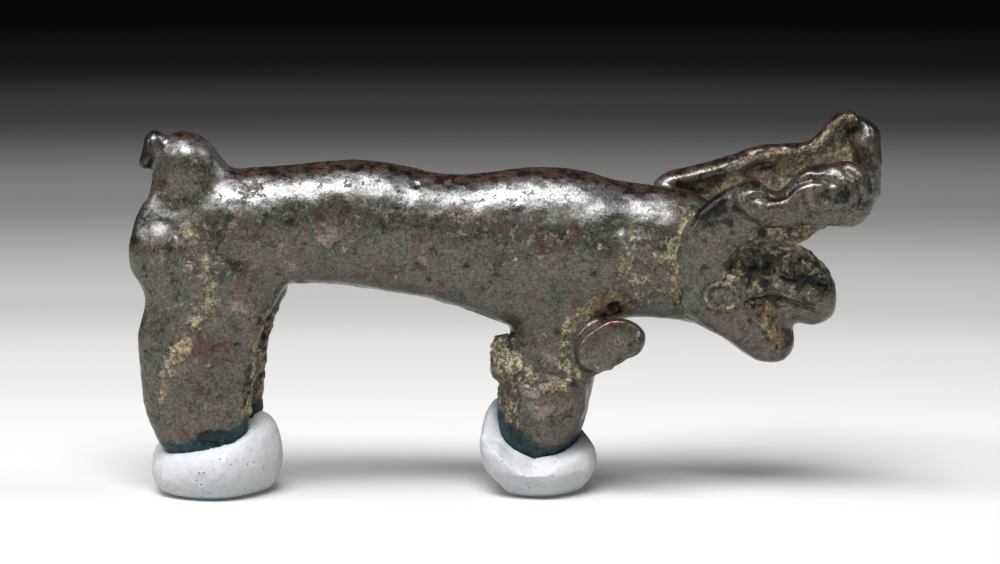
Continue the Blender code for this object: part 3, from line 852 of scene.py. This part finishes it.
def relief_of_horns(skin):
    """Both horns, the far one with its crusted cup. Returns relief, crust, wear with painted highlights,
    black with painted shade in the far horn's gap, and the cup's rust.
    """
    x, y, z = skin.points.T
    relief, wear_and_sheen, dark = relief_of_near_horn(skin)
    cup = ease(y, 3.2, 4.2) * ease(x, 14.6, 16.0) * ease(skin.normals[:, 1], 0.2, -0.3) * ease(z, 22.5, 23.5)
    gap = skin.from_path(FAR_HORN_GAP)
    relief -= 0.55 * ease(gap, 0.7, 0.1) * cup
    # Painted shade in the gap under the far horn's rim
    dark += 0.9 * ease(gap, 0.6, 0.2) * cup
    relief += (0.16 * skin.clouds(2.4, 3) + 0.10 * skin.clouds(0.9, 3)) * cup
    end_fold = skin.from_path(FAR_HORN_END_FOLD)
    relief -= 0.30 * ease(end_fold, 0.5, 0.0) * ease(y, 3.0, 3.6)
    dark += 0.7 * ease(end_fold, 0.35, 0.1) * ease(y, 3.0, 3.6) * ease(skin.normals[:, 1], 0.1, -0.2)
    rolled_end = ease(x, 34.6, 35.4) * ease(y, 2.0, 3.0)
    end_bulge = ease(skin.reach(FAR_HORN_END_BULGE), 1.5, 0.2) * ease(y, 2.0, 3.0)
    relief += 0.45 * end_bulge
    # Painted highlight on the rolled end's raised bulge
    wear_and_sheen += 0.9 * end_bulge
    dark += rolled_end * np.maximum(0.7 * ease(z, 35.8, 36.6), 0.45 * ease(end_bulge, 0.5, 0.1))
    rusty = ease(skin.oval(*FAR_CUP_RUST), 1.15, 0.7) * cup
    crust = (0.62 + 0.38 * ease(skin.clouds(2.4, 3), -0.4, 0.1) - 0.8 * rusty) * cup
    under = cup * ease(z, 28.4, 27.6)
    relief += 0.20 * skin.clouds(1.2, 3) * under
    for place, size in UNDER_HORN_SPOTS:
        dark += 0.9 * ease(skin.reach(place), size, 0.5 * size) * under
    wear_and_sheen += 0.5 * ease(skin.clouds(0.9, 3), 0.1, 0.4) * under
    # Painted highlight in the far horn's cup
    wear_and_sheen += 0.8 * ease(skin.oval(*FAR_CUP_HIGHLIGHT), 1.2, 0.5) * cup
    rim = ease(y, 3.0, 4.0) * ease(z, 29.0, 30.0) * ease(skin.normals[:, 2], 0.15, 0.6)
    crust = crust * (1 - rim) - rolled_end
    dark += 0.75 * rim * ease(skin.ragged, 0.35, -0.15)
    return relief, crust, wear_and_sheen, dark, np.maximum(rim, rusty)


def relief_of_trunk(skin):
    """Dents, bumps, crust, the hole under the neck and the seam. Returns relief, crust, wear and black."""
    near = skin.side(NEAR)
    relief, crust, wear_and_sheen = np.zeros((3, len(skin.points)))
    for place, size, depth in BACK_DENTS + FLANK_DENTS:
        relief -= depth * ease(skin.reach(place), size, 0.15 * size) * near
    for place, size, height in HIP_BUMPS:
        relief += height * ease(skin.reach(place), size, 0.0) * near
    for place, size in TAN_SPOTS:
        spot = ease(skin.reach(place) + 0.5 * skin.ragged, size, 0.3 * size) * near
        relief += 0.06 * spot
        crust += 0.8 * spot
    for place, size in NECK_CRUST:
        crust += 0.48 * ease(skin.reach(place) + skin.ragged, 1.7 * size, 0.3 * size) * near
    crust += 0.25 * ease(skin.oval(*NECK_STAIN), 1.15, 0.5) * near
    crust += 0.6 * ease(skin.reach(SADDLE_CRUST) + skin.ragged, 1.5, 0.5) * near
    for place, size in PINK_PATCHES:
        wear_and_sheen += 0.6 * ease(skin.reach(place) + 1.6 * skin.ragged, 1.2 * size, 0.2 * size) * near
    hole = ease(skin.reach(NECK_HOLE), 0.85, 0.25) * near
    relief -= NECK_HOLE_DEPTH * hole
    shoulder = ease(skin.from_path(SHOULDER_CRUST) + skin.ragged, 1.2, 0.3) * near
    relief += 0.16 * shoulder * (0.3 + skin.clouds(0.8, 3))
    crust += shoulder
    seam = ease(skin.from_path(BELLY_SEAM), 0.32, 0.05) * near
    relief += 0.10 * seam
    scratch = ease(skin.from_path(FLANK_SCRATCH), 0.12, 0.0) * near
    relief -= 0.05 * scratch
    dot = ease(skin.reach(BACK_DOT), 0.42, 0.2) * near
    return relief, crust, np.maximum.reduce([wear_and_sheen, 0.6 * seam, 1.6 * scratch]), np.maximum(hole, 0.8 * dot)


def relief_of_hind_legs(skin):
    """The haunch's groove, the foot's undercut and the shin's seam. Returns relief, crust and black."""
    x, _, z = skin.points.T
    near = skin.side(NEAR)
    haunch = skin.from_path(HAUNCH_GROOVE)
    broken = ease(skin.clouds(1.4, 4), -0.55, 0.25)
    patch = skin.from_path(HAUNCH_CRUST) / np.interp(z, HAUNCH_CRUST_HEIGHTS, HAUNCH_CRUST_WIDTHS)
    relief = 0.14 * ease(haunch, 0.7, 0.0) * near + 0.14 * ease(patch, 1.2, 0.4) * broken * near
    relief -= 0.14 * ease(skin.from_path(BESIDE_HAUNCH_GROOVE), 0.5, 0.0) * near
    crust = 0.66 * ease(haunch + 1.3 * skin.ragged, 1.6, 0.0) * near * (0.40 + 0.60 * broken)
    crust += 0.40 * ease(skin.from_path(HAUNCH_STAIN) + 1.3 * skin.ragged, 1.6, 0.1) * near * broken
    crust = np.maximum(crust, 0.92 * ease(patch + 0.6 * skin.ragged, 1.3, 0.4) * near * (0.3 + 0.7 * broken))
    undercut = ease(skin.oval(*FOOT_UNDERCUT), 1.15, 0.6) * near * ease(x, -20.0, -22.0)
    relief -= 0.30 * undercut
    shin = ease(skin.from_path(SHIN_SEAM) + 0.6 * skin.ragged, 1.7, 0.7)
    shin *= ease(skin.normals[:, 0], 0.15, 0.50)
    lumps = skin.clouds(1.2, 3)
    relief += 0.30 * shin * (0.2 + lumps)
    crust += 0.85 * shin * ease(lumps, -0.35, 0.15)
    return relief, crust, undercut + 0.75 * shin * ease(lumps, 0.05, -0.30)


def relief_of_legs(skin):
    """All the legs and the broken foot. Returns relief, crust, wear with painted highlights on the hoof's lip
    and the broken foot's rim, black and the broken foot's face.
    """
    x, y, z = skin.points.T
    near = skin.side(NEAR)
    relief, crust, dark = relief_of_hind_legs(skin)
    fore = ease(x, -4.0, -3.0) * ease(x, 13.0, 11.0) * ease(z, 20.0, 18.4)
    near_fore = near * fore
    lumps = skin.clouds(0.75, 3)
    behind = ease(skin.from_path(BACK_CRUST) + skin.ragged, 1.6, 0.7) * ease(y, 1.6, 0.6) * fore
    band = ease(skin.from_path(BAND_CRUST) + 0.8 * skin.ragged, 0.9, 0.2) * near_fore
    beside = ease(skin.from_path(STUB_CRUST) + 0.8 * skin.ragged, 0.9, 0.2) * near_fore * ease(y, -6.2, -5.6)
    rough = np.maximum.reduce([behind, band, beside])
    relief += 0.30 * rough * lumps + 0.12 * rough * skin.clouds(0.45, 2)
    crust += rough * (0.50 + 0.5 * ease(lumps, -0.2, 0.3)) * (0.65 + 0.35 * ease(z, 10.5, 12.0))

    above_lip = z - np.interp(x, *zip(*HOOF_LIP))
    hoof = ease(above_lip, 0.12, -0.12) * ease(x, 1.1, 1.6) * ease(z, 7.0, 8.6) * near_fore
    relief += 0.24 * hoof * ease(x, 9.0, 6.0) + 0.10 * ease(skin.from_path(HOOF_LIP), 0.3, 0.0) * near_fore
    # Pale pink on the hoof's lip: partly a paler flake, partly a painted highlight on the lip's upper edge
    hoof_flake_and_sheen = ease(skin.from_path(HOOF_FLAKE_AND_SHEEN) + 0.5 * skin.ragged, 0.65, 0.2) * near_fore
    dark += 0.7 * ease(skin.from_path(HOOF_EDGE), 0.30, 0.0) * near_fore
    dark += 0.35 * ease(abs(above_lip - 0.30), 0.25, 0.0) * ease(x, 1.2, 1.8) * ease(x, 6.4, 5.6) * near_fore

    stub_face = ease(y, STUB_FACE_PLANE + 0.10, STUB_FACE_PLANE - 0.05) * fore
    rim = ease(abs(y - STUB_FACE_PLANE - 0.15), 0.35, 0.0) * ease(y, -4.9, -5.4) * fore
    relief += 0.10 * rim * (0.8 + skin.clouds(1.1, 2))
    # Painted highlight along the broken foot's top and left rim
    painted_rim_highlight = rim * np.maximum(ease(z, 16.8, 17.8), ease(x, 8.6, 7.6)) * ease(skin.ragged, 0.2, -0.2)
    relief -= 0.40 * ease(skin.from_path(UNDER_STUB_TIP), 1.1, 0.2) * fore * ease(y, -4.6, -5.2)
    crust *= 1 - stub_face
    return relief, crust, np.maximum(1.3 * hoof_flake_and_sheen, 0.8 * painted_rim_highlight), dark, stub_face


def crust_share(skin, placed, hollow):
    """Where earth crust sits: in the places given, in hollows and in random patches, less on the back."""
    _, y, z = skin.points.T
    patches = ease(skin.clouds(3.2, 4), 0.34, 0.70) * (0.30 + 0.45 * skin.side(FAR))
    back = ease(skin.normals[:, 2], 0.45, 0.80) * ease(z, 27.0, 29.0) * (y < 3)
    return (placed + patches + 0.5 * ease(hollow, 0.04, 0.14)) * (1 - 0.8 * back)


def red_share(skin, ridge, mouth, cup):
    """Where the skin is red-brown: on the back's ridge, in the mouth and the horn's cup, and in patches."""
    leg = 0.48 * ease(skin.oval(*HIND_LEG_RUST) + 0.5 * skin.ragged, 1.2, 0.3) * skin.side(NEAR)
    hole = 0.9 * ease(skin.reach(NECK_HOLE), 2.6, 0.8) * (skin.points[:, 1] < 0)
    patches = 0.30 * ease(skin.clouds(3.0, 4), 0.05, 0.45)
    return np.maximum.reduce([0.85 * ridge, 0.9 * mouth, 0.8 * cup, leg, hole, patches])


def black_share(skin, ridge, placed):
    """Where the skin is black: in the places given, among them the painted shade in the far horn's gap, on
    the haunch, tail, muzzle and cheek, and in patches.
    """
    x, y, z = skin.points.T
    haunch = 0.6 * ease(skin.reach(HAUNCH_BACK), 3.4, 1.4)
    tail = 0.7 * ease(x, -34.6, -35.2) * ease(z, 31.6, 32.2)
    muzzle = 0.7 * ease(skin.oval(*MUZZLE_TOP), 1.2, 0.6) * (abs(y) < 4.8)
    cheek = 0.6 * ease(skin.from_path(CHEEK_BACK[:4]), 0.8, 0.3) * ease(abs(y), 5.4, 6.0)
    cheek += 0.75 * ease(skin.oval(*CHEEK_TOP) + skin.ragged, 1.1, 0.5) * (y < -3.0)
    flecks = 0.9 * ridge * ease(skin.clouds(1.0, 4), -0.25, 0.3)
    patches = 0.5 * ease(skin.clouds(1.6, 4), 0.25, 0.55)
    return 0.9 * np.maximum.reduce([*placed, haunch, tail, muzzle, cheek, flecks, patches])


def shape_bronze(piece, settings, seed):
    """Works the casting's relief into the fine skin, and stores where crust, wear and stains sit, and where
    highlights, a highlight tint and shade are painted.
    """
    skin = Skin(piece, seed)
    head_relief, head_crust, head_worn, head_dark, mouth = relief_of_head(skin)
    horn_relief, horn_crust, horn_wear_and_sheen, horn_dark, cup = relief_of_horns(skin)
    trunk_relief, trunk_crust, trunk_worn, trunk_dark = relief_of_trunk(skin)
    leg_relief, leg_crust, leg_wear_and_sheen, leg_dark, stub_face = relief_of_legs(skin)
    waves = skin.clouds(5.0, 2) + 0.60 * skin.clouds(1.9, 2) + 0.26 * skin.clouds(0.8, 2)
    waves *= settings.unevenness * (1 - 0.8 * stub_face)
    skin.flatten_stub(stub_face)
    skin.push(head_relief + horn_relief + trunk_relief + leg_relief + waves)
    skin.stay_inside()
    hollow = skin.hollowness(HOLLOW_ROUNDS)
    pits = ease(skin.pits(1.7), 0.20, 0.05) * ease(skin.clouds(4.0, 2), 0.0, 0.3)
    skin.push(-PIT_DEPTH * pits)

    x, y, z = skin.points.T
    up = skin.normals[:, 2]
    skin.keep("crust", crust_share(skin, head_crust + horn_crust + trunk_crust + leg_crust, hollow))
    edges = 0.40 * ease(hollow, -0.03, -0.09) * (1 - ease(y, 3.0, 4.0) * ease(z, 27.0, 28.0))
    # The wear share also carries the painted highlights of the horns and the forefoot
    wear_and_sheen = [head_worn, horn_wear_and_sheen, trunk_worn, leg_wear_and_sheen, 0.25 * stub_face, edges]
    skin.keep("wear_and_sheen", np.maximum.reduce(wear_and_sheen))
    # Painted highlight tint: the cooler grey goes on the upward-sloping flanks where the key light's
    # highlight falls, a quarter as much on the head
    highlight_grey = ease(up, 0.30, 0.55) * ease(up, 0.90, 0.74) * ease(z, 20.0, 23.0)
    skin.keep("highlight_grey", highlight_grey * (1 - 0.75 * ease(x, 15.0, 17.0)))
    ridge = ease(up, 0.60, 0.90) * ease(z, 27.0, 29.5)
    skin.keep("red", red_share(skin, ridge, mouth, cup))
    skin.keep("black", black_share(skin, ridge, [head_dark, horn_dark, trunk_dark, leg_dark]))
    skin.keep("tide", 0.95 * ease(skin.from_putty() + 0.35 * skin.clouds(1.3, 3), 1.75, 0.95))


def shape_putty(piece, bronze, settings, seed):
    """Presses the putty against the bronze, and gives it swells, finger dents and its stain."""
    skin = Skin(piece, seed)
    tree = BVHTree.FromPolygons(
        [tuple(vertex.co) for vertex in bronze.data.vertices],
        [tuple(polygon.vertices) for polygon in bronze.data.polygons],
    )
    low, high = skin.points.min(axis=0), skin.points.max(axis=0)
    middle = (low + high) / 2
    if middle[0] > 0:
        skin.lower_front()
        skin.round_base(middle[0])
    gap = settings.fit_gap / MM
    contact = np.zeros(len(skin.points))
    moved = skin.points.copy()
    for index, point in enumerate(skin.points):
        place, normal, _, away = tree.find_nearest(Vector(point) * MM)
        place, away = np.array(place) / MM, away / MM
        outward = np.array(normal)
        facing = float(-(skin.normals[index] @ outward))
        if away < PULL_START and facing > -0.2:
            pull = ease(away, PULL_START, PULL_FULL) * ease(facing, -0.2, 0.2)
            moved[index] = point + (place + outward * gap - point) * pull
        contact[index] = ease(away, 1.5, 0.25)
    skin.points = moved
    skin.write()
    above = ease(skin.points[:, 2], 0.15, 0.9)
    outer = above * ease(contact, 0.75, 0.2)
    skin.push((0.13 * skin.clouds(3.2, 2) + 0.05 * skin.clouds(1.1, 3)) * outer)
    dents = ease(skin.pits(2.6), 0.34, 0.08) * outer
    skin.push(-0.10 * dents)
    x, y, z = skin.points.T
    foot_line = ease(z, 0.75, 0.15) * ease(np.hypot(x - middle[0], y - middle[1]), 2.0, 4.0)
    skin.keep("stain", np.maximum(0.45 * foot_line, 0.55 * ease(contact, 0.55, 1.0)))


class VOTIVE_OT_cast_bronze(Operator):
    """Make the bronze animal with its relief, crust and patina"""

    bl_idname = "votive.cast_bronze"
    bl_label = "Cast Bronze Animal"

    def execute(self, context):
        settings = context.scene.votive_bronze
        piece = fine_skin("bronze_animal", "bronze_animal_skin", settings.skin_step, BRONZE_SMOOTHING_ROUNDS)
        shape_bronze(piece, settings, context.scene.votive_studio.samples_seed)
        piece.data.materials.append(bronze_material(settings))
        piece.data.shade_smooth()
        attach(piece, "root")
        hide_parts("bronze_animal")
        return {"FINISHED"}


class VOTIVE_OT_press_putty(Operator):
    """Make the two lumps of putty, pressed round the feet"""

    bl_idname = "votive.press_putty"
    bl_label = "Press Putty Lumps"

    def execute(self, context):
        settings = context.scene.votive_putty
        bronze = bpy.data.objects["bronze_animal_skin"]
        material = putty_material(settings)
        for seed, node in enumerate(PUTTY_NODES, FIRST_PUTTY_SEED):
            piece = fine_skin(node, node + "_lump", settings.skin_step, PUTTY_SMOOTHING_ROUNDS)
            shape_putty(piece, bronze, settings, seed)
            piece.data.materials.append(material)
            piece.data.shade_smooth()
            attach(piece, "root")
            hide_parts(node)
        return {"FINISHED"}


def add_softbox(name, place, size, power):
    """An area light at a place, turned to face the figure. Its size is width and height."""
    bpy.ops.object.light_add(type="AREA", location=place)
    light = bpy.context.object
    light.name = name
    light.data.shape = "RECTANGLE"
    light.data.size, light.data.size_y = size
    light.data.energy = power
    light.rotation_euler = (Vector(LIGHT_AIM) - Vector(place)).to_track_quat("-Z", "Y").to_euler()


def add_camera():
    tilt = math.radians(CAMERA_TILT_DEGREES)
    place = CAMERA_TARGET + CAMERA_DISTANCE * Vector((0.0, -math.cos(tilt), math.sin(tilt)))
    bpy.ops.object.camera_add(location=place, rotation=(math.pi / 2 - tilt, 0.0, 0.0))
    camera = bpy.context.object
    camera.data.sensor_width = SENSOR_WIDTH
    camera.data.lens = SENSOR_WIDTH * CAMERA_DISTANCE / PICTURE_WIDTH_AT_FIGURE
    camera.data.clip_start = CAMERA_CLIP_START
    bpy.context.scene.camera = camera


class VOTIVE_OT_set_stage(Operator):
    """Make the pale floor, the soft lights and the camera"""

    bl_idname = "votive.set_stage"
    bl_label = "Set Stage"

    def execute(self, context):
        settings = context.scene.votive_studio
        deselect_all()
        bpy.ops.mesh.primitive_plane_add(size=FLOOR_LENGTH, location=(0.0, 0.0, 0.0))
        floor = context.object
        floor.name = "pale_floor"
        floor.data.materials.append(floor_material(settings))
        add_softbox("key_softbox", KEY_PLACE, KEY_SIZE, settings.key_power)
        add_softbox("left_softbox", LEFT_PLACE, LEFT_SIZE, settings.side_power)
        add_softbox("right_softbox", RIGHT_PLACE, RIGHT_SIZE, settings.fill_power)
        add_camera()
        world = bpy.data.worlds.new("studio_air")
        world.use_nodes = True
        background = world.node_tree.nodes["Background"]
        background.inputs["Color"].default_value = AIR_COLOUR
        background.inputs["Strength"].default_value = settings.air
        context.scene.world = world
        context.scene.view_settings.view_transform = "Standard"
        return {"FINISHED"}


class VOTIVE_PT_pieces(Panel):
    """Buttons and settings for the bronze animal and its stage"""

    bl_idname = "VOTIVE_PT_pieces"
    bl_label = "Bronze Votive Animal"
    bl_space_type = "VIEW_3D"
    bl_region_type = "UI"
    bl_category = "Votive"

    def draw(self, context):
        layout = self.layout
        groups = (
            (VOTIVE_OT_set_stage, context.scene.votive_studio),
            (VOTIVE_OT_cast_bronze, context.scene.votive_bronze),
            (VOTIVE_OT_press_putty, context.scene.votive_putty),
        )
        for operator, settings in groups:
            column = layout.column(align=True)
            column.operator(operator.bl_idname)
            for name in settings.__annotations__:
                column.prop(settings, name)


CLASSES = (
    BronzeSettings,
    PuttySettings,
    StudioSettings,
    VOTIVE_OT_set_stage,
    VOTIVE_OT_cast_bronze,
    VOTIVE_OT_press_putty,
    VOTIVE_PT_pieces,
)


def register():
    for cls in CLASSES:
        bpy.utils.register_class(cls)
    bpy.types.Scene.votive_bronze = PointerProperty(type=BronzeSettings)
    bpy.types.Scene.votive_putty = PointerProperty(type=PuttySettings)
    bpy.types.Scene.votive_studio = PointerProperty(type=StudioSettings)


def unregister():
    del bpy.types.Scene.votive_studio
    del bpy.types.Scene.votive_putty
    del bpy.types.Scene.votive_bronze
    for cls in reversed(CLASSES):
        bpy.utils.unregister_class(cls)


def main():
    register()
    bpy.ops.votive.set_stage()
    bpy.ops.votive.cast_bronze()
    bpy.ops.votive.press_putty()


if __name__ == "__main__":
    main()
